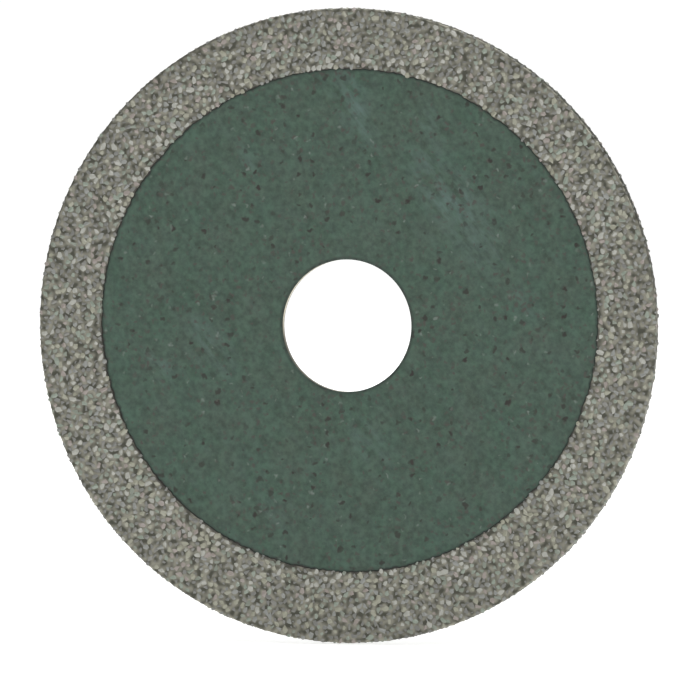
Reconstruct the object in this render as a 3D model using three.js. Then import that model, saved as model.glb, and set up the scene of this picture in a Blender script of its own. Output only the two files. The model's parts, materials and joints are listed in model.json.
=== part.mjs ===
// A plated diamond blade: a steel disc, enamelled in the middle and coated with grit at the rim.
// Units are millimetres and +Z is up. The blade stands upright on its rim. Its axis lies along Y,
// its front looks towards -Y, and the origin is in the middle of the arbor hole, half way
// through the steel. Lengths along the axis are counted from there towards the front.

import * as THREE from 'three';

// Driving dimensions
const BLADE_DIAMETER = 107;         // over the tips of the grit
const ARBOR_DIAMETER = 22.23;       // the standard 7/8 inch arbor
const STEEL_THICKNESS = 1.2;
const ENAMEL_THICKNESS = 0.08;
const NICKEL_THICKNESS = 0.28;      // holds each grain by rather more than half
const GRIT_STAND_OUT = 0.22;        // how far the grains rise from the nickel

// The mask that keeps the middle of each face clear of the plating. It is set on by hand, so it
// sits a little above and to the right of the arbor, and it is a little wider than it is tall.
const MASK_WIDTH = 85.9;
const MASK_HEIGHT = 84.7;
const MASK_RIGHT = 0.4;
const MASK_UP = 0.9;

const CIRCLE_SIDES = 96;

// Radii, from the axis outwards
const GRIT_RADIUS = BLADE_DIAMETER / 2;
const NICKEL_RADIUS = GRIT_RADIUS - GRIT_STAND_OUT;
const STEEL_RADIUS = NICKEL_RADIUS - NICKEL_THICKNESS;
const ARBOR_RADIUS = ARBOR_DIAMETER / 2;

// Distances of each face from the middle of the steel
const STEEL_FACE = STEEL_THICKNESS / 2;
const ENAMEL_FACE = STEEL_FACE + ENAMEL_THICKNESS;
const NICKEL_FACE = STEEL_FACE + NICKEL_THICKNESS;
const GRIT_FACE = NICKEL_FACE + GRIT_STAND_OUT;

// Lays what was extruded along +Z along -Y, with whole numbers so that faces still meet exactly.
const AXIS_TO_FRONT = new THREE.Matrix4().set(
  1, 0, 0, 0,
  0, 0, -1, 0,
  0, 1, 0, 0,
  0, 0, 0, 1,
);

const finishes = {
  groundSteel: { color: '#b9b3a2', roughness: 0.45, metalness: 0.9 },
  greenEnamel: { color: '#4e5f55', roughness: 0.6, metalness: 0.0 },
  nickelPlate: { color: '#6f6f64', roughness: 0.5, metalness: 0.8 },
  diamondGrit: { color: '#7e7f75', roughness: 0.55, metalness: 0.1 },
};

function circle(radius) {
  return new THREE.Shape().absarc(0, 0, radius, 0, 2 * Math.PI, false);
}

function maskOutline() {
  return new THREE.Shape().absellipse(
    MASK_RIGHT, MASK_UP, MASK_WIDTH / 2, MASK_HEIGHT / 2, 0, 2 * Math.PI, false, 0,
  );
}

// A flat washer between two outlines, from one distance along the axis to another.
function washer(name, outer, inner, from, to, finish) {
  outer.holes.push(inner);
  const geometry = new THREE.ExtrudeGeometry(outer, {
    depth: to - from,
    steps: 1,
    bevelEnabled: false,
    curveSegments: CIRCLE_SIDES / 2,
  });
  geometry.translate(0, 0, from);
  geometry.applyMatrix4(AXIS_TO_FRONT);
  const piece = new THREE.Mesh(geometry, new THREE.MeshStandardMaterial(finish));
  piece.name = name;
  return piece;
}

function steelCore() {
  return washer(
    'steel_core', circle(STEEL_RADIUS), circle(ARBOR_RADIUS),
    -STEEL_FACE, STEEL_FACE, finishes.groundSteel,
  );
}

// The enamel covers what the mask covered, up to the arbor hole.
function enamel(side, from, to) {
  return washer(
    `${side}_enamel`, maskOutline(), circle(ARBOR_RADIUS), from, to, finishes.greenEnamel,
  );
}

// The nickel on one face starts at the mask line and runs out to the edge of the steel.
function faceNickel(side, from, to) {
  return washer(
    `${side}_nickel_bond`, circle(STEEL_RADIUS), maskOutline(), from, to, finishes.nickelPlate,
  );
}

// The nickel on the edge covers the corners of the nickel on the faces.
function edgeNickel() {
  return washer(
    'edge_nickel_bond', circle(NICKEL_RADIUS), circle(STEEL_RADIUS),
    -NICKEL_FACE, NICKEL_FACE, finishes.nickelPlate,
  );
}

// The layer of grain tips that stands out of the nickel on one face.
function faceGrit(side, from, to) {
  return washer(
    `${side}_diamond_grit`, circle(NICKEL_RADIUS), maskOutline(), from, to, finishes.diamondGrit,
  );
}

// The grain tips on the edge, which do the cutting, over the whole thickness of the rim.
function edgeGrit() {
  return washer(
    'edge_diamond_grit', circle(GRIT_RADIUS), circle(NICKEL_RADIUS),
    -GRIT_FACE, GRIT_FACE, finishes.diamondGrit,
  );
}

function diamondBlade() {
  const blade = new THREE.Group();
  blade.add(steelCore());
  blade.add(enamel('front', STEEL_FACE, ENAMEL_FACE));
  blade.add(enamel('back', -ENAMEL_FACE, -STEEL_FACE));
  blade.add(faceNickel('front', STEEL_FACE, NICKEL_FACE));
  blade.add(faceNickel('back', -NICKEL_FACE, -STEEL_FACE));
  blade.add(edgeNickel());
  blade.add(faceGrit('front', NICKEL_FACE, GRIT_FACE));
  blade.add(faceGrit('back', -GRIT_FACE, -NICKEL_FACE));
  blade.add(edgeGrit());
  return blade;
}

export default diamondBlade();
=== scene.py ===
"""A plated diamond blade: steel blank, baked enamel, nickel plating and diamond grit.

The blade stands upright on its rim. Its axis lies along Y and its front looks towards -Y.
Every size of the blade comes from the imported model. Lengths are in metres.
"""

import json
import math
import random
from functools import partial
from itertools import permutations, product

import bmesh
import bpy
from mathutils import Euler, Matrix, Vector, noise

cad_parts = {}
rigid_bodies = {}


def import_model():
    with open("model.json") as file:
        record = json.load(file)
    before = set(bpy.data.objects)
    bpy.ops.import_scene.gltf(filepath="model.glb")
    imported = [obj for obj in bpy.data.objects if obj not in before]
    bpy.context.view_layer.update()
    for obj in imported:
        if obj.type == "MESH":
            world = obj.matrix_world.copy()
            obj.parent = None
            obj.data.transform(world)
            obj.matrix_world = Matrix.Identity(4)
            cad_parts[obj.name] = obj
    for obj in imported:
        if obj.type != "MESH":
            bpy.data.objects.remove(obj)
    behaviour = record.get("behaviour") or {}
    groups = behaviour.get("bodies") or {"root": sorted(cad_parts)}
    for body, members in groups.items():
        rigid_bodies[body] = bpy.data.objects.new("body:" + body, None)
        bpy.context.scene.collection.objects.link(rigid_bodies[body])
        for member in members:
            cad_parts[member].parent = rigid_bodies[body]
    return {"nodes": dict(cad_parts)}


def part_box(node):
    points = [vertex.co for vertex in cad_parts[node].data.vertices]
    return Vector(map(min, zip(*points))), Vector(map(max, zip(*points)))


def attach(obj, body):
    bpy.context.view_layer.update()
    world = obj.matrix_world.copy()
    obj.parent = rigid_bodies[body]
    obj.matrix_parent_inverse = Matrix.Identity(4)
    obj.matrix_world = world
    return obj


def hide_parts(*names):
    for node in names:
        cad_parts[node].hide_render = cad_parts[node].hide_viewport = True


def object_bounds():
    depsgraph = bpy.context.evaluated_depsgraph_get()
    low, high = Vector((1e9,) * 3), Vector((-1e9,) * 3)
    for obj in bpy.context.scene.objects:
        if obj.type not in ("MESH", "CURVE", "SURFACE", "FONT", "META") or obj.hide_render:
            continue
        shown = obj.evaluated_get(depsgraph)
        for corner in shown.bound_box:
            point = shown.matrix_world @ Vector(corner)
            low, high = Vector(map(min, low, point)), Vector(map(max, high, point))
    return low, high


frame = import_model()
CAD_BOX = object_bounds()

bl_info = {
    "name": "Plated Diamond Blade",
    "version": (1, 0, 0),
    "blender": (4, 5, 0),
    "location": "3D View > Sidebar > Blade",
    "description": "Makes the enamel, the nickel plating and the diamond grit of a cutting blade",
    "category": "Add Mesh",
}

MM = 0.001
FULL_TURN = 2 * math.pi
PLACES = ("front", "edge", "back")
SIDES = {"front": -1, "back": 1}
WHITE = (1.0, 1.0, 1.0, 1.0)

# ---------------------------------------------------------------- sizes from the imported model

STEEL_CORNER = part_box("steel_core")[1]
NICKEL_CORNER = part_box("edge_nickel_bond")[1]
GRIT_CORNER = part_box("edge_diamond_grit")[1]
MASK_LOW, MASK_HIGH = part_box("front_enamel")

STEEL_RADIUS, STEEL_FACE = STEEL_CORNER.x, STEEL_CORNER.y
NICKEL_THICKNESS = NICKEL_CORNER.y - STEEL_FACE
GRIT_RADIUS, GRIT_FACE = GRIT_CORNER.x, GRIT_CORNER.y
GRIT_THICKNESS = GRIT_FACE - STEEL_FACE
ENAMEL_THICKNESS = -MASK_LOW.y - STEEL_FACE
ARBOR_RADIUS = min(
    math.hypot(v.co.x, v.co.z) for v in frame["nodes"]["steel_core"].data.vertices
)
MASK_CENTRE = ((MASK_LOW.x + MASK_HIGH.x) / 2, (MASK_LOW.z + MASK_HIGH.z) / 2)
MASK_HALF = ((MASK_HIGH.x - MASK_LOW.x) / 2, (MASK_HIGH.z - MASK_LOW.z) / 2)


# ------------------------------------------------------------------------------ user settings

def linear(hex_colour):
    """An sRGB hex value as three linear numbers."""
    parts = [int(hex_colour[i:i + 2], 16) / 255 for i in (1, 3, 5)]
    return tuple(c / 12.92 if c <= 0.04045 else ((c + 0.055) / 1.055) ** 2.4 for c in parts)


def length(name, description, default, smallest=0.0):
    """A size in metres that a user may change."""
    return bpy.props.FloatProperty(
        name=name, description=description, default=default, min=smallest,
        precision=5, unit="LENGTH", subtype="DISTANCE",
    )


def colour(name, description, default):
    """A colour that a user may change, with an sRGB hex value as its default."""
    return bpy.props.FloatVectorProperty(
        name=name, description=description, default=linear(default), size=3,
        min=0.0, max=1.0, subtype="COLOR",
    )


class SteelSettings(bpy.types.PropertyGroup):
    """The steel blank"""
    edge_break: length("Edge break", "Rounding of the arbor hole's edges", 0.25 * MM)
    steel: colour("Steel", "Ground steel in the arbor hole", "#cfc7b4")
    scale: colour("Mill scale", "Black scale left on the faces of the blank", "#383430")


class EnamelSettings(bpy.types.PropertyGroup):
    """The green enamel on both faces"""
    gap: length("Gap", "Least bare line between the enamel and the plating", 0.05 * MM)
    tear: length("Tear", "How far the enamel is torn back from the mask line", 0.35 * MM)
    # painted shade: the darker edge of the enamel along the plating stands in for the shade of the
    # raised plating; round the hole it is a darker ring
    pool: length("Pool", "Width of the darker edge where the enamel ran thick", 0.4 * MM)
    green: colour("Green", "Body colour of the enamel", "#3e4f43")
    grey: colour("Grey", "Where the green is thin or dirty", "#46423d")
    teal: colour("Teal", "Where the green is fresh", "#385042")
    pale_green: colour("Pale green", "Where the enamel is scuffed", "#647b77")
    # painted shade: dark_green colours the painted shade along the plating and the darker ring round
    # the hole
    dark_green: colour("Dark green", "Where the enamel ran thick at its edges", "#222d27")
    pale: colour("Pale grit", "Loose pale grit stuck in the enamel", "#6f7a72")
    dust: colour("Dust", "Dark dust baked into the enamel", "#241a17")


class PlatingSettings(bpy.types.PropertyGroup):
    """The nickel that holds the grit"""
    pitch: length("Pitch", "Size of the mesh that carries the lumps", 0.21 * MM, 0.1 * MM)
    edge_round: length("Edge round", "Rounding of the plating at the mask line", 0.06 * MM)
    lump_size: length("Lump size", "Width of the lumps in the plating", 0.9 * MM, 0.05 * MM)
    lump_height: length("Lump height", "How far the lumps rise and fall", 0.12 * MM)
    climb: length("Climb", "How far the nickel climbs each grain", 0.03 * MM)
    nickel: colour("Nickel", "Matte nickel on the lumps", "#979589")
    # partly painted shade: the darker nickel is partly stain and partly shade painted into the pits
    # where the grains stand low
    stained_shaded: colour("Stained nickel", "Dull nickel in the hollows", "#5d5d54")
    # painted shade: the colour of a dark band on the nickel along the mask line, and how far it
    # reaches
    lacquer: colour("Lacquer", "Lacquer left on the nickel along the mask line", "#403e38")
    mask_line_shade_width: length("Lacquer width", "How far the lacquer reaches", 0.4 * MM)


class GritSettings(bpy.types.PropertyGroup):
    """The diamond crystals"""
    # such grit is usually 0.3 to 0.6 mm wide: it is drawn two to three times as coarse, so that
    # it shows
    narrowest: length("Narrowest grain", "Half width of the narrowest grains", 0.41 * MM)
    widest: length("Widest grain", "Half width of the widest grains", 0.56 * MM)
    longest: bpy.props.FloatProperty(
        name="Longest grain", description="Length of the longest grains over their width",
        default=1.7, min=1.0,
    )
    edge_room: length("Edge room", "Half length of a grain at the rim or the mask line", 0.42 * MM)
    open_room: length("Open room", "Half length that the grains reach away from both", 0.9 * MM)
    spacing: length("Spacing", "Least distance between the middles of two grains", 0.9 * MM)
    uneven: length("Uneven", "How much less than the tallest the lowest grains stand", 0.12 * MM)
    inset: length("Inset", "From the mask line to the middle of the first grains", 0.15 * MM)
    patch: length("Patch", "Width of the patches of high and low grains", 1.0 * MM, 0.1 * MM)
    seed: bpy.props.IntProperty(name="Seed", description="Another scatter of the grains", default=7)


class StudioSettings(bpy.types.PropertyGroup):
    """The camera, the floor and the lights"""
    azimuth: bpy.props.FloatProperty(
        name="Azimuth", description="How far the camera stands round to the right of the front",
        default=math.radians(13.8), subtype="ANGLE", unit="ROTATION",
    )
    elevation: bpy.props.FloatProperty(
        name="Elevation", description="How far the camera stands above the blade's axis",
        default=math.radians(1.9), subtype="ANGLE", unit="ROTATION",
    )
    lens: bpy.props.FloatProperty(
        name="Lens", description="Focal length in millimetres; a long lens keeps the disc true",
        default=900.0, min=1.0,
    )
    frame_height: length("Frame height", "How tall a stretch fills the frame", 117.6 * MM)
    look_right: length("Look right", "How far right of the axis the camera points", 0.37 * MM)
    look_down: length("Look down", "How far below the axis the camera points", 4.1 * MM)
    floor_radius: length("Floor radius", "Radius of the pale floor", 12.0)


class BladeSettings(bpy.types.PropertyGroup):
    """Everything that can be changed on the blade"""
    ragged: length("Ragged", "How far the mask line wanders", 0.3 * MM)
    steel: bpy.props.PointerProperty(type=SteelSettings)
    enamel: bpy.props.PointerProperty(type=EnamelSettings)
    plating: bpy.props.PointerProperty(type=PlatingSettings)
    grit: bpy.props.PointerProperty(type=GritSettings)
    studio: bpy.props.PointerProperty(type=StudioSettings)


# ------------------------------------------------------------------------------- mesh helpers

def new_object(name, points, faces):
    """A new object in the scene, at the origin, from points and faces."""
    mesh = bpy.data.meshes.new(name)
    mesh.from_pydata(points, [], faces)
    mesh.update()
    made = bpy.data.objects.new(name, mesh)
    bpy.context.scene.collection.objects.link(made)
    return made


def skin(loops, closed):
    """Points and quads through loops of equal length, each loop closed on itself."""
    count = len(loops[0])
    points = [point for loop in loops for point in loop]
    faces = []
    for i in range(len(loops) if closed else len(loops) - 1):
        here, there = i * count, (i + 1) % len(loops) * count
        for j in range(count):
            k = (j + 1) % count
            faces.append((here + j, here + k, there + k, there + j))
    return points, faces


def turn_outwards(made):
    """Points the faces of a closed mesh outwards."""
    work = bmesh.new()
    work.from_mesh(made.data)
    bmesh.ops.recalc_face_normals(work, faces=work.faces)
    work.to_mesh(made.data)
    work.free()


def shade_smooth(made, angle=math.radians(50)):
    """Smooth faces, with an edge kept sharp where two meet at more than the angle."""
    made.data.shade_smooth()
    made.data.set_sharp_from_angle(angle=angle)


def circle_loop(radius, y, count):
    """A circle about the blade's axis."""
    angles = [FULL_TURN * j / count for j in range(count)]
    return [(radius * math.cos(a), y, radius * math.sin(a)) for a in angles]


# How often the mask line wanders, slowly and quickly, and how often it is torn: the radius of
# the circle that it is drawn on, in cells of the noise
SLOW_WANDER, QUICK_WANDER, TORN_BITS = 24, 60, 30


def mask_loop(grow, y, count, ragged=0.0, tear=0.0):
    """The mask's outline, moved outwards. It wanders, and a coat may be torn back from it."""
    # each face has its own line, because the side tells the two apart
    stream = math.copysign(3.0, y)
    loop = []
    for j in range(count):
        angle = FULL_TURN * j / count
        x, z = math.cos(angle), math.sin(angle)
        slow = noise.noise((x * SLOW_WANDER, z * SLOW_WANDER, stream))
        quick = noise.noise((x * QUICK_WANDER, z * QUICK_WANDER, stream))
        torn = abs(noise.noise((x * TORN_BITS, z * TORN_BITS, 3 * stream)))
        out = grow + ragged * (slow + quick) / 2 - tear * torn
        loop.append((MASK_CENTRE[0] + (MASK_HALF[0] + out) * x, y,
                     MASK_CENTRE[1] + (MASK_HALF[1] + out) * z))
    return loop


def between(loop_a, loop_b, share):
    """The loop that lies a share of the way from one loop to another."""
    return [tuple(Vector(a).lerp(Vector(b), share)) for a, b in zip(loop_a, loop_b)]


def arc(centre, radius, start, end, steps):
    """Points (outwards, along the axis) of an arc in the blade's section, in degrees."""
    angles = [math.radians(start + (end - start) * i / steps) for i in range(steps + 1)]
    return [(centre[0] + radius * math.cos(a), centre[1] + radius * math.sin(a)) for a in angles]


def write_points(mesh, name, kind, values):
    """Stores one value or vector for each point of a mesh."""
    attribute = mesh.attributes.new(name, kind, "POINT")
    if kind == "FLOAT":
        attribute.data.foreach_set("value", values)
    else:
        attribute.data.foreach_set("vector", [c for value in values for c in value])


def place_piece(made, node):
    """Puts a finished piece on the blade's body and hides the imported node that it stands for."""
    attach(made, "root")
    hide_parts(node)


# ------------------------------------------------------------------------------- node helpers

def set_inputs(tree, made, inputs):
    """Sets or links a node's inputs, by name or number."""
    for key, value in inputs.items():
        if isinstance(value, bpy.types.NodeSocket):
            tree.links.new(value, made.inputs[key])
        else:
            made.inputs[key].default_value = value


def add_node(tree, kind, inputs=None, out=0, **settings):
    """Adds a node with its settings and its inputs.

    Gives back one output by name or number, or all of them when out is None.
    """
    added = tree.nodes.new(kind)
    for name, value in settings.items():
        setattr(added, name, value)
    set_inputs(tree, added, inputs or {})
    return added.outputs if out is None else added.outputs[out]


def geometry_tree(name, inputs, outputs=(("Geometry", "NodeSocketGeometry"),)):
    """A new geometry tree with named inputs and outputs, and its input node's sockets."""
    tree = bpy.data.node_groups.new(name, "GeometryNodeTree")
    for title, kind in outputs:
        tree.interface.new_socket(title, in_out="OUTPUT", socket_type=kind)
    for title, kind in inputs:
        tree.interface.new_socket(title, in_out="INPUT", socket_type=kind)
    return tree, add_node(tree, "NodeGroupInput", out=None)


def grow(made, tree, values):
    """Runs a geometry tree on an object and keeps the result as its plain mesh."""
    modifier = made.modifiers.new("grow", "NODES")
    modifier.node_group = tree
    for socket in tree.interface.items_tree:
        if socket.in_out == "INPUT" and socket.name in values:
            modifier[socket.identifier] = values[socket.name]
    depsgraph = bpy.context.evaluated_depsgraph_get()
    grown = bpy.data.meshes.new_from_object(
        made.evaluated_get(depsgraph), preserve_all_data_layers=True, depsgraph=depsgraph,
    )
    made.modifiers.remove(modifier)
    made.data = grown
    if not grown.polygons:
        raise RuntimeError(f"{made.name} came out of its geometry tree empty")


def new_material(name):
    """A material with a Principled surface: the material, its tree and the surface."""
    made = bpy.data.materials.new(name)
    made.use_nodes = True
    return made, made.node_tree, made.node_tree.nodes["Principled BSDF"]


def opaque(three):
    """Three colour numbers with a full fourth."""
    return (*three, 1.0)


def scaled(three, by):
    """A colour made lighter or darker."""
    return opaque(min(1.0, c * by) for c in three)


# ---------------------------------------------------------------------------------- materials

# Widths of the patterns, from the marks that each process leaves. The finest, such as the lines
# of grinding, are drawn coarser than they are, so that they show
GRINDING_LINE, SCALE_FADE = 1.5 * MM, 0.3 * MM
ENAMEL_MOTTLE, HUE_PATCH, DUST_CROWD = 1.0 * MM, 6 * MM, 9 * MM
WIPED_LINE, SPECK_BEND, SPECK_PUSH = 1.3 * MM, 0.9 * MM, 1.3 * MM
SPECK_HALO, SPECK_FADE = 0.12 * MM, 0.14 * MM
# the second width on this line is that of the breaks in the dark band of painted shade along the
# mask line
NICKEL_GRAIN, MASK_LINE_SHADE_BREAK, FROST_PATCH = 0.8 * MM, 1.1 * MM, 0.5 * MM

# Depths of the same patterns, which only bump the surface
GRINDING_DEPTH, ORANGE_PEEL, NICKEL_DEPTH = 0.02 * MM, 0.02 * MM, 0.05 * MM


def ground_steel(settings):
    """Carbon steel: ground to a pale warm grey in the hole, black with mill scale elsewhere."""
    made, tree, surface = new_material("ground_steel")
    node = partial(add_node, tree)
    place = node("ShaderNodeTexCoord", out="Object")
    # squeezed along the axis, so that each line runs round the hole
    squeezed = node("ShaderNodeMapping", {"Vector": place, "Scale": (1.0, 12.0, 1.0)})
    lines = node(
        "ShaderNodeTexNoise",
        {"Vector": squeezed, "Scale": 1 / GRINDING_LINE, "Detail": 4.0, "Roughness": 0.6},
    )
    ground = node(
        "ShaderNodeMix", {0: lines, 6: scaled(settings.steel, 0.75), 7: opaque(settings.steel)},
        out=2, data_type="RGBA",
    )
    # the scale starts under the enamel, a little way from the hole
    flat = node("ShaderNodeVectorMath", {0: place, 1: (1.0, 0.0, 1.0)}, operation="MULTIPLY")
    away = node("ShaderNodeVectorMath", {0: flat}, out=1, operation="LENGTH")
    start = ARBOR_RADIUS + 2 * settings.edge_break
    scaly = node("ShaderNodeMapRange", {0: away, 1: start, 2: start + SCALE_FADE})
    tone = node(
        "ShaderNodeMix", {0: scaly, 6: ground, 7: opaque(settings.scale)},
        out=2, data_type="RGBA",
    )
    metal = node("ShaderNodeMapRange", {0: scaly, 3: 1.0, 4: 0.0})
    rough = node("ShaderNodeMapRange", {0: lines, 3: 0.34, 4: 0.5})
    bump = node("ShaderNodeBump", {"Height": lines, "Strength": 0.4, "Distance": GRINDING_DEPTH})
    set_inputs(tree, surface, {
        "Base Color": tone, "Roughness": rough, "Normal": bump, "Metallic": metal,
    })
    return made


# How strongly the wiped lines show away from the patches
WIPED_ALL_OVER = 0.12

# Wiped patches on the enamel, in millimetres and degrees: the middle (to the right and up), the
# length, the width, the lean down to the right, and how strongly the patch shows.
SCUFFS = (
    (2, 37, 24, 9, 62, 0.6), (19.5, 21, 36, 14, 54, 0.68), (15.5, 34, 11, 6, 60, 0.5),
    (-23, -3, 18, 9, 52, 0.6), (-32, -7, 10, 6, 50, 0.55), (-16.5, 28, 10, 6, 60, 0.4),
    (4, -18, 20, 12, 45, 0.4), (31, 4, 16, 9, 60, 0.3), (-12, -30, 18, 9, 45, 0.3),
)


def baked_enamel(settings, face):
    """Enamel, sprayed and baked: a satin dark green, wiped and scuffed, with dust caught in it."""
    made, tree, surface = new_material(f"baked_enamel_{face}")
    node = partial(add_node, tree)
    place = node("ShaderNodeTexCoord", out="Object")
    # the back takes its marks from another part of the same patterns
    shift = {"front": (0.0, 0.0, 0.0), "back": (0.213, 0.0, 0.341)}[face]
    here = node("ShaderNodeMapping", {"Vector": place, "Location": shift})
    # the face seen flat, pushed about a little so that no speck in it is quite round
    push = node(
        "ShaderNodeTexNoise", {"Vector": here, "Scale": 1 / SPECK_BEND, "Detail": 1.0},
        out="Color",
    )
    pushed = node(
        "ShaderNodeVectorMath", {0: push, 1: (SPECK_PUSH,) * 3, 2: here},
        operation="MULTIPLY_ADD",
    )
    axes = node("ShaderNodeSeparateXYZ", {0: pushed}, out=None)
    across = node("ShaderNodeCombineXYZ", {0: axes[0], 1: axes[2]})
    # dust gathers in some places more than in others
    gathered = node(
        "ShaderNodeTexNoise", {"Vector": here, "Scale": 1 / DUST_CROWD, "Detail": 2.0},
    )
    crowd = node("ShaderNodeMapRange", {0: gathered, 1: 0.3, 2: 0.7, 3: -0.35, 4: 0.35})

    def specks(cell, smallest, widest, share):
        """How much each point is covered by specks, which lie in about a share of the cells."""
        found = node(
            "ShaderNodeTexVoronoi", {"Vector": across, "Scale": 1 / cell}, out=None,
            voronoi_dimensions="2D",
        )
        draw = node("ShaderNodeSeparateColor", {0: found["Color"]}, out=None)
        chance = node("ShaderNodeMath", {0: draw[0], 1: crowd}, operation="ADD")
        reach = node(
            "ShaderNodeMapRange",
            {0: chance, 1: 1 - share, 2: 1.1, 3: smallest / 2 / cell, 4: widest / 2 / cell},
        )
        inside = node("ShaderNodeMath", {0: reach, 1: found["Distance"]}, operation="SUBTRACT")
        cover = node(
            "ShaderNodeMapRange", {0: inside, 1: -SPECK_HALO / cell, 2: SPECK_FADE / cell},
        )
        present = node("ShaderNodeMath", {0: chance, 1: 1 - share}, operation="GREATER_THAN")
        depth = node("ShaderNodeMapRange", {0: draw[1], 3: 0.3, 4: 0.9})
        weight = node("ShaderNodeMath", {0: present, 1: depth}, operation="MULTIPLY")
        return node("ShaderNodeMath", {0: cover, 1: weight}, operation="MULTIPLY")

    def scuff(x, z, long, wide, lean, depth):
        """A wiped patch that fades to nothing at its edges; x and z are its middle."""
        inside = node(
            "ShaderNodeMapping",
            {"Vector": pushed, "Location": (x * MM, 0.0, z * MM),
             "Rotation": (0.0, math.radians(lean), 0.0),
             "Scale": (long / 2 * MM, 1.0, wide / 2 * MM)},
            vector_type="TEXTURE",
        )
        away = node("ShaderNodeVectorMath", {0: inside}, out=1, operation="LENGTH")
        return node("ShaderNodeMapRange", {0: away, 1: 1.0, 2: 0.1, 3: 0.0, 4: depth})

    # fine mottle in lightness, broad patches in hue
    mottle = node(
        "ShaderNodeTexNoise",
        {"Vector": here, "Scale": 1 / ENAMEL_MOTTLE, "Detail": 3.0, "Roughness": 0.6},
    )
    spread = node("ShaderNodeMapRange", {0: mottle, 1: 0.3, 2: 0.7})
    broad = node(
        "ShaderNodeTexNoise",
        {"Vector": here, "Scale": 1 / HUE_PATCH, "Detail": 5.0, "Roughness": 0.65},
    )
    hue = node("ShaderNodeMapRange", {0: broad, 1: 0.35, 2: 0.65})
    base = node(
        "ShaderNodeMix", {0: hue, 6: opaque(settings.teal), 7: opaque(settings.green)},
        out=2, data_type="RGBA",
    )
    shade = node("ShaderNodeMapRange", {0: mottle, 1: 0.3, 2: 0.7, 3: 0.66, 4: 1.4})
    body = node("ShaderNodeVectorMath", {0: base, "Scale": shade}, operation="SCALE")
    # a cloth wiped over the whole face has left faint lines, from upper left to lower right
    along = node(
        "ShaderNodeMapping",
        {"Vector": here, "Rotation": (0.0, math.radians(50), 0.0), "Scale": (3.5, 1.0, 1.0)},
        vector_type="TEXTURE",
    )
    drawn = node(
        "ShaderNodeTexNoise",
        {"Vector": along, "Scale": 1 / WIPED_LINE, "Detail": 4.0, "Roughness": 0.65},
    )
    lines = node("ShaderNodeMapRange", {0: drawn, 1: 0.38, 2: 0.7})
    wiped = WIPED_ALL_OVER
    for patch in SCUFFS:
        wiped = node("ShaderNodeMath", {0: wiped, 1: scuff(*patch)}, operation="MAXIMUM")
    worn = node("ShaderNodeMath", {0: lines, 1: wiped}, operation="MULTIPLY")
    scuffed = node(
        "ShaderNodeMix", {0: worn, 6: body, 7: opaque(settings.pale_green)},
        out=2, data_type="RGBA",
    )
    small = specks(cell=1.2 * MM, smallest=0.3 * MM, widest=0.7 * MM, share=0.5)
    dark = specks(cell=2.4 * MM, smallest=0.4 * MM, widest=1.0 * MM, share=0.46)
    pale = specks(cell=2.7 * MM, smallest=0.25 * MM, widest=0.55 * MM, share=0.3)
    marked = scuffed
    for cover, tone in (
        (small, opaque(settings.grey)), (dark, opaque(settings.dust)),
        (pale, opaque(settings.pale)),
    ):
        marked = node("ShaderNodeMix", {0: cover, 6: marked, 7: tone}, out=2, data_type="RGBA")
    # painted shade: the enamel darkens along the plating, where the raised plating would shade it,
    # and in a ring round the hole, broken up by the mottle
    edge = node("ShaderNodeAttribute", out="Fac", attribute_name="pool")
    patchy = node("ShaderNodeMapRange", {0: mottle, 1: 0.35, 2: 0.62, 3: 0.15, 4: 1.0})
    thick = node("ShaderNodeMath", {0: edge, 1: patchy}, operation="MULTIPLY")
    edge_darkened = node(
        "ShaderNodeMix", {0: thick, 6: marked, 7: opaque(settings.dark_green)},
        out=2, data_type="RGBA",
    )
    rough = node("ShaderNodeMapRange", {0: spread, 3: 0.48, 4: 0.62})
    # orange peel, with the dust a little proud
    height = node("ShaderNodeMath", {0: dark, 1: 1.5, 2: mottle}, operation="MULTIPLY_ADD")
    bump = node("ShaderNodeBump", {"Height": height, "Strength": 0.5, "Distance": ORANGE_PEEL})
    set_inputs(tree, surface, {
        "Base Color": edge_darkened, "Roughness": rough, "Normal": bump, "IOR": 1.5,
    })
    return made


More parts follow.
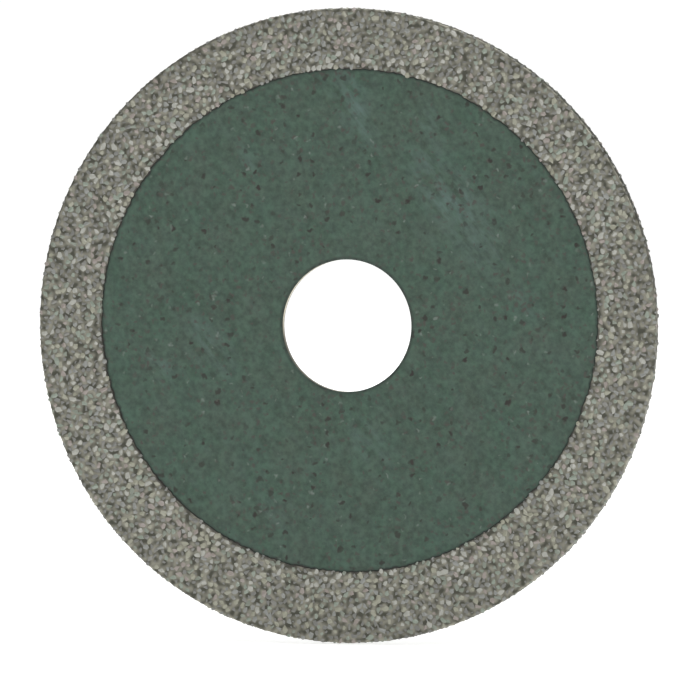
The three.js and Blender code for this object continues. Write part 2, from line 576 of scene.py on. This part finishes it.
def matte_nickel(settings, patch):
    """Nickel, electroplated in a dull bath: warm grey, satin on the lumps, with darker, rougher
    patches that are partly stain and partly painted shade, and a dark band of painted shade along
    the mask line.
    """
    made, tree, surface = new_material("matte_nickel")
    node = partial(add_node, tree)
    place = node("ShaderNodeTexCoord", out="Object")
    grain = node(
        "ShaderNodeTexNoise",
        {"Vector": place, "Scale": 1 / NICKEL_GRAIN, "Detail": 4.0, "Roughness": 0.65},
    )
    # the same patches as in the grit: where the grains stand low, the nickel is darker, partly stain
    # and partly painted shade of the pits
    patches = node(
        "ShaderNodeTexNoise", {"Vector": place, "Scale": 1 / patch, "Detail": 0.0},
    )
    stain_shade_mask = node("ShaderNodeMapRange", {0: patches, 1: 0.3, 2: 0.65})
    plain = node(
        "ShaderNodeMix", {0: stain_shade_mask, 6: opaque(settings.stained_shaded), 7: opaque(settings.nickel)},
        out=2, data_type="RGBA",
    )
    # painted shade: a dark, matte band laid on the nickel along the mask line, broken away in places
    left = node("ShaderNodeAttribute", out="Fac", attribute_name="lacquer")
    flaked = node("ShaderNodeTexNoise", {"Vector": place, "Scale": 1 / MASK_LINE_SHADE_BREAK, "Detail": 1.0})
    kept = node("ShaderNodeMapRange", {0: flaked, 1: 0.4, 2: 0.56, 3: 0.1, 4: 1.0})
    edge = node("ShaderNodeMath", {0: left, 1: kept}, operation="MULTIPLY")
    tone = node(
        "ShaderNodeMix", {0: edge, 6: plain, 7: opaque(settings.lacquer)},
        out=2, data_type="RGBA",
    )
    metal = node("ShaderNodeMapRange", {0: edge, 3: 1.0, 4: 0.0})
    rough = node("ShaderNodeMapRange", {0: stain_shade_mask, 3: 0.6, 4: 0.4})
    bump = node("ShaderNodeBump", {"Height": grain, "Strength": 0.7, "Distance": NICKEL_DEPTH})
    set_inputs(tree, surface, {
        "Base Color": tone, "Roughness": rough, "Normal": bump, "Metallic": metal,
    })
    return made


# Synthetic diamond runs from clear straw to grey; the dark crystals are full of bits of metal.
# Each row is a name, a colour, and the least tone of the grains that have it, dark to light. No
# grain's tone is as low as the first, so the darkest colour has no lower limit.
DIAMOND_TONES = (
    ("diamond_black", "#575750", -1.0),
    ("diamond_smoke", "#626158", 0.25),
    ("diamond_moss", "#697261", 0.34),
    ("diamond_grey", "#747670", 0.42),
    ("diamond_rose", "#83776e", 0.5),
    ("diamond_green", "#758170", 0.56),
    ("diamond_straw", "#888771", 0.63),
    ("diamond_pale", "#9a9a90", 0.75),
)


def synthetic_diamond(name, tone):
    """Synthetic diamond, as grown: glassy facets that catch the light, frosted in places."""
    made, tree, surface = new_material(name)
    node = partial(add_node, tree)
    place = node("ShaderNodeTexCoord", out="Object")
    frost = node(
        "ShaderNodeTexNoise",
        {"Vector": place, "Scale": 1 / FROST_PATCH, "Detail": 3.0, "Roughness": 0.6},
    )
    rough = node("ShaderNodeMapRange", {0: frost, 1: 0.3, 2: 0.7, 3: 0.42, 4: 0.64})
    set_inputs(tree, surface, {
        "Base Color": opaque(linear(tone)), "Roughness": rough, "IOR": 2.42,
    })
    return made


# ----------------------------------------------------------------------------- steel and enamel

def make_steel(settings):
    """The blank, with the edges of its arbor hole rounded."""
    sides, steps = 384, 6
    cut = settings.edge_break
    middle = ARBOR_RADIUS + cut
    section = [(STEEL_RADIUS, -STEEL_FACE), (STEEL_RADIUS, STEEL_FACE)]
    section += arc((middle, STEEL_FACE - cut), cut, 90, 180, steps)
    section += arc((middle, cut - STEEL_FACE), cut, 180, 270, steps)
    made = new_object("steel_blank", *skin([circle_loop(r, y, sides) for r, y in section], True))
    made.data.materials.append(ground_steel(settings))
    turn_outwards(made)
    shade_smooth(made)
    return made


def make_enamel(settings, cut, ragged, place):
    """One coat, which rolls over the rounded edge of the hole and stops short of the plating."""
    sides, steps, rings, fade_rings = 1024, 4, 12, 3
    side, thick = SIDES[place], ENAMEL_THICKNESS
    middle = (ARBOR_RADIUS + cut, STEEL_FACE - cut)
    # the coat may roll over as far as it can without reaching into the hole
    reach = 180 - math.degrees(math.acos(cut / (cut + thick)))
    loops, dark_edges = [], []

    def add(loop, pool):
        """Adds a loop, and how much of the darker edge colour it takes: painted shade near the
        plating, a darker ring at the hole.
        """
        loops.append(loop)
        dark_edges.extend([pool] * len(loop))

    for r, y in arc(middle, cut + thick, reach, 90, steps):
        add(circle_loop(r, side * y, sides), 1.0)
    face = side * (STEEL_FACE + thick)
    short = -settings.gap - thick
    start, end = loops[-1], mask_loop(short, face, sides, ragged, settings.tear)
    fade = settings.pool / (MASK_HALF[0] - ARBOR_RADIUS)
    near = [fade * i / fade_rings for i in range(1, fade_rings + 1)]
    shares = near + [fade + (1 - 2 * fade) * i / rings for i in range(1, rings)]
    shares += [1 - share for share in reversed(near)]
    for share in shares:
        add(between(start, end, share), max(0.0, 1 - min(share, 1 - share) / fade))
    for r, y in arc((short, STEEL_FACE), thick, 90, 0, steps):
        add(mask_loop(r, side * y, sides, ragged, settings.tear), 1.0)
    for r, y in arc(middle, cut, 90, reach, steps):
        add(circle_loop(r, side * y, sides), 1.0)
    made = new_object(f"{place}_enamel_coat", *skin(loops, True))
    write_points(made.data, "pool", "FLOAT", dark_edges)
    made.data.materials.append(baked_enamel(settings, place))
    turn_outwards(made)
    shade_smooth(made)
    return made


# ---------------------------------------------------------------------------- plating and grit

def rim_section(distance, steps, rows):
    """The outline of a layer round the steel's rim, at a distance, from one face to the other."""
    corner = arc((STEEL_RADIUS, STEEL_FACE), distance, 90, 0, steps)
    flat = [(corner[-1][0], STEEL_FACE * (1 - 2 * i / rows)) for i in range(1, rows)]
    return corner + flat + [(r, -y) for r, y in reversed(corner)]


def seat_surface(place, settings, ragged):
    """The surface that the middles of the tallest grains lie on: half the grit off the steel.

    It also carries how long a grain may be at each point, so that none reaches past the rim.
    """
    depth, count = GRIT_THICKNESS / 2, 768
    tight, wide = settings.edge_room, settings.open_room
    if place == "edge":
        ends = (GRIT_FACE - tight, tight - GRIT_FACE)
        loops = [circle_loop(STEEL_RADIUS + depth, y, count) for y in ends]
        rooms = [tight, tight]
    else:
        face = SIDES[place] * (STEEL_FACE + depth)
        inner = mask_loop(settings.inset, face, count, ragged)
        outer = circle_loop(GRIT_RADIUS - tight, face, count)
        share = (wide - tight) / (STEEL_RADIUS - max(MASK_HALF))
        loops = [inner, between(inner, outer, share), between(inner, outer, 1 - share), outer]
        rooms = [tight, wide, wide, tight]
    made = new_object(f"{place}_seats", *skin(loops, False))
    write_points(made.data, "room", "FLOAT", [room for room in rooms for _ in range(count)])
    turn_away(made)
    return made


def turn_away(made):
    """Turns the faces of an open sheet away from the middle of the rim."""
    middle = (STEEL_RADIUS + MASK_HALF[0]) / 2
    for face in made.data.polygons:
        inside = Vector((face.center.x, 0, face.center.z)).normalized() * middle
        if face.normal.dot(face.center - inside) < 0:
            face.flip()
    made.data.update()


# Tries at a seat in each square metre: far more than there is room for, so that the rim is
# covered as densely as it can be
SEAT_TRIES = 6e7


def seats_tree():
    """Scatters grain seats over a surface, no two closer than the spacing."""
    tree, given = geometry_tree(
        "grain_seats",
        [("Surface", "NodeSocketGeometry"), ("Spacing", "NodeSocketFloat"),
         ("Seed", "NodeSocketInt")],
        [("Seats", "NodeSocketGeometry"), ("Normal", "NodeSocketVector"),
         ("Rotation", "NodeSocketRotation")],
    )
    scatter = add_node(
        tree, "GeometryNodeDistributePointsOnFaces",
        {"Mesh": given["Surface"], "Distance Min": given["Spacing"], "Density Max": SEAT_TRIES,
         "Seed": given["Seed"]},
        out=None, distribute_method="POISSON",
    )
    add_node(
        tree, "NodeGroupOutput",
        {0: scatter["Points"], 1: scatter["Normal"], 2: scatter["Rotation"]}, out=None,
    )
    return tree


def plating_tree(seats):
    """Raises lumps on the plating, and draws the nickel up round every grain."""
    tree, given = geometry_tree("nickel_lumps", [
        ("Geometry", "NodeSocketGeometry"), ("Seat surface", "NodeSocketObject"),
        ("Spacing", "NodeSocketFloat"), ("Seed", "NodeSocketInt"),
        ("Lump size", "NodeSocketFloat"), ("Lump height", "NodeSocketFloat"),
        ("Climb", "NodeSocketFloat"), ("Material", "NodeSocketMaterial"),
    ])
    node = partial(add_node, tree)
    surface = node("GeometryNodeObjectInfo", {"Object": given["Seat surface"]}, out="Geometry")
    points = node(
        "GeometryNodeGroup",
        {"Surface": surface, "Spacing": given["Spacing"], "Seed": given["Seed"]},
        out="Seats", node_tree=seats,
    )
    away = node(
        "GeometryNodeProximity", {0: points}, out="Distance", target_element="POINTS",
    )
    # full height at the side of a grain, none in the middle of a gap
    share = node("ShaderNodeMath", {0: away, 1: given["Spacing"]}, operation="DIVIDE")
    near = node(
        "ShaderNodeMapRange", {0: share, 1: 0.85, 2: 0.5}, interpolation_type="SMOOTHSTEP",
    )
    climb = node("ShaderNodeMath", {0: near, 1: given["Climb"]}, operation="MULTIPLY")
    often = node("ShaderNodeMath", {0: 1.0, 1: given["Lump size"]}, operation="DIVIDE")
    lumps = node("ShaderNodeTexNoise", {"Scale": often, "Detail": 3.0, "Roughness": 0.6})
    even = node("ShaderNodeMath", {0: lumps, 1: 0.5}, operation="SUBTRACT")
    rise = node(
        "ShaderNodeMath", {0: even, 1: given["Lump height"], 2: climb}, operation="MULTIPLY_ADD",
    )
    outwards = node(
        "GeometryNodeInputNamedAttribute", {"Name": "outwards"}, data_type="FLOAT_VECTOR",
    )
    offset = node("ShaderNodeVectorMath", {0: outwards, "Scale": rise}, operation="SCALE")
    raised = node(
        "GeometryNodeSetPosition", {"Geometry": given["Geometry"], "Offset": offset},
    )
    whole = node("GeometryNodeRealizeInstances", {0: raised})
    dressed = node(
        "GeometryNodeSetMaterial", {"Geometry": whole, "Material": given["Material"]},
    )
    node("NodeGroupOutput", {0: dressed}, out=None)
    return tree


def plating_base(place, settings, ragged):
    """Closed, even plating on one face or on the rim, and which way each point may rise."""
    columns = round(FULL_TURN * STEEL_RADIUS / settings.pitch)
    loops, outwards, lacquer = [], [], []

    def add(loop, away, along, dark=0.0):
        """Adds a loop whose points may rise away from the middle and along the axis."""
        loops.append(loop)
        lacquer.extend([dark] * columns)
        for j in range(columns):
            angle = FULL_TURN * j / columns
            outwards.append((away * math.cos(angle), along, away * math.sin(angle)))

    if place == "edge":
        for r, y in rim_section(NICKEL_THICKNESS, steps=3, rows=6):
            from_steel = Vector((r - STEEL_RADIUS, y - max(-STEEL_FACE, min(STEEL_FACE, y))))
            add(circle_loop(r, y, columns), *from_steel.normalized())
    else:
        side, bead = SIDES[place], settings.edge_round
        face = side * (STEEL_FACE + NICKEL_THICKNESS)
        add(mask_loop(0, side * STEEL_FACE, columns, ragged), 0, 0, 1.0)
        for r, y in arc((0, 0), 1, 180, 90, 3):
            height = side * (STEEL_FACE + NICKEL_THICKNESS - bead + bead * y)
            add(mask_loop(bead * (1 + r), height, columns, ragged), r, side * y, 1.0)
        inner, outer = loops[-1], circle_loop(STEEL_RADIUS, face, columns)
        span = STEEL_RADIUS - min(MASK_HALF)
        rows = round(span / settings.pitch)
        for i in range(1, rows + 1):
            # painted shade: the dark band along the mask line fades out across its width
            dark = max(0.0, 1 - i / rows * span / settings.mask_line_shade_width)
            add(between(inner, outer, i / rows), 0, side, dark)
        add(circle_loop(STEEL_RADIUS, side * STEEL_FACE, columns), 0, 0)
    made = new_object(f"{place}_nickel_plating", *skin(loops, True))
    turn_outwards(made)
    write_points(made.data, "outwards", "FLOAT_VECTOR", outwards)
    write_points(made.data, "lacquer", "FLOAT", lacquer)
    return made


def crystal_corners(a, b, c):
    """The corners of a cut cube or octahedron: every order and sign of three numbers."""
    corners = {
        tuple(s * v for s, v in zip(signs, order))
        for order in permutations((a, b, c)) for signs in product((-1, 1), repeat=3)
    }
    return [Vector(corner).normalized() for corner in sorted(corners)]


# Whole crystals: two that are half cube and half octahedron, an octahedron with its points cut
# off, and a cube with its corners cut off
HABITS = ((0, 1, 1), (0, 1, 1), (0, 1, 2), (0.4, 1, 1))

# Broken crystals: how many shapes, how many corners each, and how rough they are
SHARDS, SHARD_CORNERS, SHARD_LEAST_RADIUS = 6, 14, 0.88


def crystal_shapes():
    """Crystals of radius 1 and half height 1: whole ones, turned at random, and broken ones."""
    draw = random.Random(11)
    shapes = []
    for habit in HABITS:
        turn = Euler([draw.uniform(0, FULL_TURN) for _ in range(3)])
        corners = crystal_corners(*habit)
        for corner in corners:
            corner.rotate(turn)
        shapes.append(corners)
    for _ in range(SHARDS):
        shard = []
        for _ in range(SHARD_CORNERS):
            corner = Vector([draw.gauss(0, 1) for _ in range(3)]).normalized()
            shard.append(corner * draw.uniform(SHARD_LEAST_RADIUS, 1.0))
        shapes.append(shard)
    # each one reaches from 1 below its middle to 1 above, so that it stands on the steel
    for corners in shapes:
        low, high = min(c.z for c in corners), max(c.z for c in corners)
        for corner in corners:
            corner.z = 2 * (corner.z - low) / (high - low) - 1
    return shapes


def crystal_collection():
    """A collection, outside the scene, with one closed convex object for each crystal shape."""
    kept = bpy.data.collections.new("crystals")
    for i, corners in enumerate(crystal_shapes()):
        work = bmesh.new()
        for corner in corners:
            work.verts.new(corner)
        hull = bmesh.ops.convex_hull(work, input=work.verts)
        spare = [v for v in hull["geom_interior"] + hull["geom_unused"] if v.is_valid]
        bmesh.ops.delete(work, geom=list(set(spare)), context="VERTS")
        # the hull comes as triangles: those that lie in one facet are joined
        bmesh.ops.dissolve_limit(work, angle_limit=0.01, verts=work.verts, edges=work.edges)
        bmesh.ops.recalc_face_normals(work, faces=work.faces)
        mesh = bpy.data.meshes.new(f"crystal_{i:02d}")
        work.to_mesh(mesh)
        work.free()
        kept.objects.link(bpy.data.objects.new(mesh.name, mesh))
    return kept


# How far the tallest grains stay down, because a flat top would stick out of the rim's curve
FLAT_TOP_SPARE = 0.004 * MM

# How much of a grain's tone is its own, and what the tone gains at the mask line and at the rim
OWN_TONE, TONE_INSIDE, TONE_AT_RIM = 0.15, 0.03, -0.2


def grit_tree(seats, materials):
    """Sets a crystal on every seat, standing on the steel, and gives each one a tone."""
    tree, given = geometry_tree("diamond_grit", [
        ("Geometry", "NodeSocketGeometry"), ("Crystals", "NodeSocketCollection"),
        ("Spacing", "NodeSocketFloat"), ("Seed", "NodeSocketInt"),
        ("Narrowest", "NodeSocketFloat"), ("Widest", "NodeSocketFloat"),
        ("Longest", "NodeSocketFloat"), ("Lowest", "NodeSocketFloat"),
        ("Tallest", "NodeSocketFloat"), ("Patch", "NodeSocketFloat"),
        ("Rim radius", "NodeSocketFloat"), ("Rim start", "NodeSocketFloat"),
    ])
    node = partial(add_node, tree)
    spots = node(
        "GeometryNodeGroup",
        {"Surface": given["Geometry"], "Spacing": given["Spacing"], "Seed": given["Seed"]},
        out=None, node_tree=seats,
    )
    # five random numbers for each grain, each from its own stream
    drawn = []
    for i, (low, high) in enumerate((
        (given["Narrowest"], given["Widest"]), (1.0, given["Longest"]), (-0.5, 0.5),
        (0.0, FULL_TURN), (0.0, 1000.0),
    )):
        stream = node(
            "ShaderNodeMath", {0: given["Seed"], 1: 100.0 * (i + 1)}, operation="ADD",
        )
        drawn.append(node(
            "FunctionNodeRandomValue", {2: low, 3: high, "Seed": stream},
            out=1, data_type="FLOAT",
        ))
    width, stretch, chance, angle, which = drawn
    # the grains stand high and low in patches, and the lower ones are darker
    often = node("ShaderNodeMath", {0: 1.0, 1: given["Patch"]}, operation="DIVIDE")
    patches = node("ShaderNodeTexNoise", {"Scale": often, "Detail": 0.0})
    spread = node("ShaderNodeMapRange", {0: patches, 1: 0.25, 2: 0.75})
    varied = node(
        "ShaderNodeMath", {0: chance, 1: OWN_TONE, 2: spread}, operation="MULTIPLY_ADD",
    )
    # towards the rim the grains stand a little lower and are darker
    point = node("GeometryNodeInputPosition")
    flat = node("ShaderNodeVectorMath", {0: point, 1: (1.0, 0.0, 1.0)}, operation="MULTIPLY")
    away = node("ShaderNodeVectorMath", {0: flat}, out=1, operation="LENGTH")
    towards_rim = node(
        "ShaderNodeMapRange",
        {0: away, 1: given["Rim start"], 2: given["Rim radius"], 3: TONE_INSIDE,
         4: TONE_AT_RIM},
    )
    level = node("ShaderNodeMath", {0: varied, 1: towards_rim}, operation="ADD")
    height = node(
        "ShaderNodeMapRange", {0: level, 1: 0.2, 2: 0.8, 3: given["Lowest"], 4: given["Tallest"]},
    )
    drop = node("ShaderNodeMath", {0: height, 1: given["Tallest"]}, operation="SUBTRACT")
    down = node("ShaderNodeVectorMath", {0: spots["Normal"], "Scale": drop}, operation="SCALE")
    seated = node("GeometryNodeSetPosition", {"Geometry": spots["Seats"], "Offset": down})
    toned = node(
        "GeometryNodeStoreNamedAttribute", {"Geometry": seated, "Name": "tone", "Value": level},
        data_type="FLOAT", domain="POINT",
    )
    long = node("ShaderNodeMath", {0: width, 1: stretch}, operation="MULTIPLY")
    # a grain that is too long for its place is a shorter one
    room = node("GeometryNodeInputNamedAttribute", {"Name": "room"}, data_type="FLOAT")
    wish = node("ShaderNodeCombineXYZ", {0: long, 1: width, 2: height})
    limit = node("ShaderNodeCombineXYZ", {0: room, 1: room, 2: height})
    size = node("ShaderNodeVectorMath", {0: wish, 1: limit}, operation="MINIMUM")
    about = node("ShaderNodeCombineXYZ", {2: angle})
    spin = node("FunctionNodeEulerToRotation", {0: about})
    turned = node(
        "FunctionNodeRotateRotation", {0: spots["Rotation"], 1: spin}, rotation_space="LOCAL",
    )
    shapes = node(
        "GeometryNodeCollectionInfo",
        {"Collection": given["Crystals"], "Separate Children": True, "Reset Children": True},
    )
    grains = node(
        "GeometryNodeInstanceOnPoints",
        {"Points": toned, "Instance": shapes, "Pick Instance": True, "Instance Index": which,
         "Rotation": turned, "Scale": size},
    )
    made = node("GeometryNodeRealizeInstances", {0: grains})
    tone = node("GeometryNodeInputNamedAttribute", {"Name": "tone"}, data_type="FLOAT")
    # the darkest row takes every grain, and each lighter row takes over from its own tone up
    for material, (_, _, least) in zip(materials, DIAMOND_TONES):
        chosen = node(
            "FunctionNodeCompare", {0: tone, 1: least}, data_type="FLOAT",
            operation="GREATER_EQUAL",
        )
        made = node(
            "GeometryNodeSetMaterial",
            {"Geometry": made, "Selection": chosen, "Material": material},
        )
    node("NodeGroupOutput", {0: made}, out=None)
    return tree


# ----------------------------------------------------------------------------------- the studio

# Each lamp's name, its kind, where it stands from the blade, and its settings
LAMPS = (
    ("overhead", "SUN", (0.0, -0.1, 1.0), {"energy": 1.6, "angle": math.radians(50)}),
    ("key", "AREA", (0.9, -1.2, 1.1), {"energy": 9.0, "shape": "DISK", "size": 0.9}),
    ("behind", "AREA", (-0.6, 1.1, 0.8), {"energy": 7.0, "shape": "DISK", "size": 0.7}),
)
BACKDROP_GREY, BACKDROP_LIGHT = "#f4f6f8", 0.26
FLOOR_WHITE, FLOOR_GLOW = "#e8e8e6", 0.48


def make_camera(settings):
    """A camera a long way off, a little to the right of the front and a little above the axis."""
    a, e = settings.azimuth, settings.elevation
    back = Vector((math.sin(a) * math.cos(e), -math.cos(a) * math.cos(e), math.sin(e)))
    right = Vector((math.cos(a), math.sin(a), 0))
    up = back.cross(right)
    lens = bpy.data.cameras.new("camera")
    lens.lens = settings.lens
    half_angle = math.atan(lens.sensor_width / 2 / lens.lens)
    distance = settings.frame_height / 2 / math.tan(half_angle)
    camera = bpy.data.objects.new("camera", lens)
    camera.location = right * settings.look_right - up * settings.look_down + back * distance
    camera.rotation_euler = (-back).to_track_quat("-Z", "Y").to_euler()
    lens.clip_end = 4 * settings.floor_radius
    bpy.context.scene.collection.objects.link(camera)
    bpy.context.scene.camera = camera


def make_floor(settings):
    """A light table: a plain pale floor of white acrylic lit from below, so shadows stay faint."""
    sides, rings = 96, [0.1, 1.0, settings.floor_radius]
    loops = [[(x, z, CAD_BOX[0].z) for x, _, z in circle_loop(r, 0, sides)] for r in rings]
    points, faces = skin(loops, False)
    faces.append(tuple(range(sides)))
    floor = new_object("floor", points, faces)
    for face in floor.data.polygons:
        if face.normal.z < 0:
            face.flip()
    made, tree, surface = new_material("lit_acrylic")
    set_inputs(tree, surface, {
        "Base Color": opaque(linear(FLOOR_WHITE)), "Roughness": 0.9,
        "Emission Color": WHITE, "Emission Strength": FLOOR_GLOW,
    })
    floor.data.materials.append(made)


def make_lamp(name, kind, stand, settings):
    """A lamp that stands away from the blade and shines at it."""
    lamp = bpy.data.lights.new(name, kind)
    for key, value in settings.items():
        setattr(lamp, key, value)
    made = bpy.data.objects.new(name, lamp)
    made.location = stand
    made.rotation_euler = Vector(stand).to_track_quat("Z", "Y").to_euler()
    bpy.context.scene.collection.objects.link(made)


def make_world():
    """A white backdrop for the camera, which lights the blade as a dimmer grey."""
    world = bpy.data.worlds.new("studio")
    world.use_nodes = True
    tree = world.node_tree
    tree.nodes.clear()
    seen = add_node(tree, "ShaderNodeLightPath", out="Is Camera Ray")
    grey = add_node(
        tree, "ShaderNodeBackground", {0: opaque(linear(BACKDROP_GREY)), 1: BACKDROP_LIGHT},
    )
    white = add_node(tree, "ShaderNodeBackground", {0: WHITE, 1: 1.0})
    both = add_node(tree, "ShaderNodeMixShader", {0: seen, 1: grey, 2: white})
    add_node(tree, "ShaderNodeOutputWorld", {0: both}, out=None)
    bpy.context.scene.world = world


# ------------------------------------------------------------------------------------ operators

class BLADE_OT_studio(bpy.types.Operator):
    """Make the camera, the floor and the soft light"""
    bl_idname = "blade.studio"
    bl_label = "Studio"

    def execute(self, context):
        settings = context.scene.blade.studio
        make_camera(settings)
        make_floor(settings)
        make_world()
        for lamp in LAMPS:
            make_lamp(*lamp)
        context.scene.view_settings.view_transform = "Standard"
        return {"FINISHED"}


class BLADE_OT_steel(bpy.types.Operator):
    """Make the steel blank with its arbor hole"""
    bl_idname = "blade.steel"
    bl_label = "Steel blank"

    def execute(self, context):
        made = make_steel(context.scene.blade.steel)
        place_piece(made, "steel_core")
        return {"FINISHED"}


class BLADE_OT_enamel(bpy.types.Operator):
    """Make the green enamel on both faces"""
    bl_idname = "blade.enamel"
    bl_label = "Enamel"

    def execute(self, context):
        settings = context.scene.blade
        cut, ragged = settings.steel.edge_break, settings.ragged
        for place in SIDES:
            made = make_enamel(settings.enamel, cut, ragged, place)
            place_piece(made, f"{place}_enamel")
        return {"FINISHED"}


class BLADE_OT_plating(bpy.types.Operator):
    """Make the nickel plating on both faces and on the rim"""
    bl_idname = "blade.plating"
    bl_label = "Nickel plating"

    def execute(self, context):
        blade = context.scene.blade
        settings, grit = blade.plating, blade.grit
        tree = plating_tree(seats_tree())
        material = matte_nickel(settings, grit.patch)
        for number, place in enumerate(PLACES):
            seats = seat_surface(place, grit, blade.ragged)
            made = plating_base(place, settings, blade.ragged)
            grow(made, tree, {
                "Seat surface": seats, "Spacing": grit.spacing, "Seed": grit.seed + number,
                "Lump size": settings.lump_size, "Lump height": settings.lump_height,
                "Climb": settings.climb, "Material": material,
            })
            bpy.data.objects.remove(seats)
            shade_smooth(made)
            place_piece(made, f"{place}_nickel_bond")
        return {"FINISHED"}


class BLADE_OT_grit(bpy.types.Operator):
    """Make the diamond crystals on both faces and on the rim"""
    bl_idname = "blade.grit"
    bl_label = "Diamond grit"

    def execute(self, context):
        blade = context.scene.blade
        settings = blade.grit
        crystals = crystal_collection()
        materials = [synthetic_diamond(name, tone) for name, tone, _ in DIAMOND_TONES]
        tree = grit_tree(seats_tree(), materials)
        tallest = GRIT_THICKNESS / 2 - FLAT_TOP_SPARE
        for number, place in enumerate(PLACES):
            made = seat_surface(place, settings, blade.ragged)
            made.name = f"{place}_diamonds"
            grow(made, tree, {
                "Crystals": crystals, "Spacing": settings.spacing,
                "Seed": settings.seed + number, "Narrowest": settings.narrowest,
                "Widest": settings.widest, "Longest": settings.longest, "Tallest": tallest,
                "Lowest": tallest - settings.uneven / 2, "Patch": settings.patch,
                "Rim start": max(MASK_HALF), "Rim radius": GRIT_RADIUS,
            })
            place_piece(made, f"{place}_diamond_grit")
        for crystal in list(crystals.objects):
            bpy.data.objects.remove(crystal)
        bpy.data.collections.remove(crystals)
        return {"FINISHED"}


class BLADE_PT_panel(bpy.types.Panel):
    """Lists the parts of the blade that can be made"""
    bl_idname = "BLADE_PT_panel"
    bl_label = "Diamond Blade"
    bl_space_type = "VIEW_3D"
    bl_region_type = "UI"
    bl_category = "Blade"

    def draw(self, context):
        for operator in OPERATORS:
            self.layout.operator(operator.bl_idname)
        blade = context.scene.blade
        self.layout.prop(blade, "ragged")
        for group in (blade.steel, blade.enamel, blade.plating, blade.grit, blade.studio):
            box = self.layout.box()
            for name in group.__annotations__:
                box.prop(group, name)


SETTINGS = (
    SteelSettings, EnamelSettings, PlatingSettings, GritSettings, StudioSettings, BladeSettings,
)
OPERATORS = (
    BLADE_OT_studio, BLADE_OT_steel, BLADE_OT_enamel, BLADE_OT_plating, BLADE_OT_grit,
)


def register():
    for kind in (*SETTINGS, *OPERATORS, BLADE_PT_panel):
        bpy.utils.register_class(kind)
    bpy.types.Scene.blade = bpy.props.PointerProperty(type=BladeSettings)


def unregister():
    del bpy.types.Scene.blade
    for kind in reversed((*SETTINGS, *OPERATORS, BLADE_PT_panel)):
        bpy.utils.unregister_class(kind)


def main():
    """Makes the whole blade and its studio."""
    register()
    bpy.ops.blade.studio()
    bpy.ops.blade.steel()
    bpy.ops.blade.enamel()
    bpy.ops.blade.plating()
    bpy.ops.blade.grit()


if __name__ == "__main__":
    main()
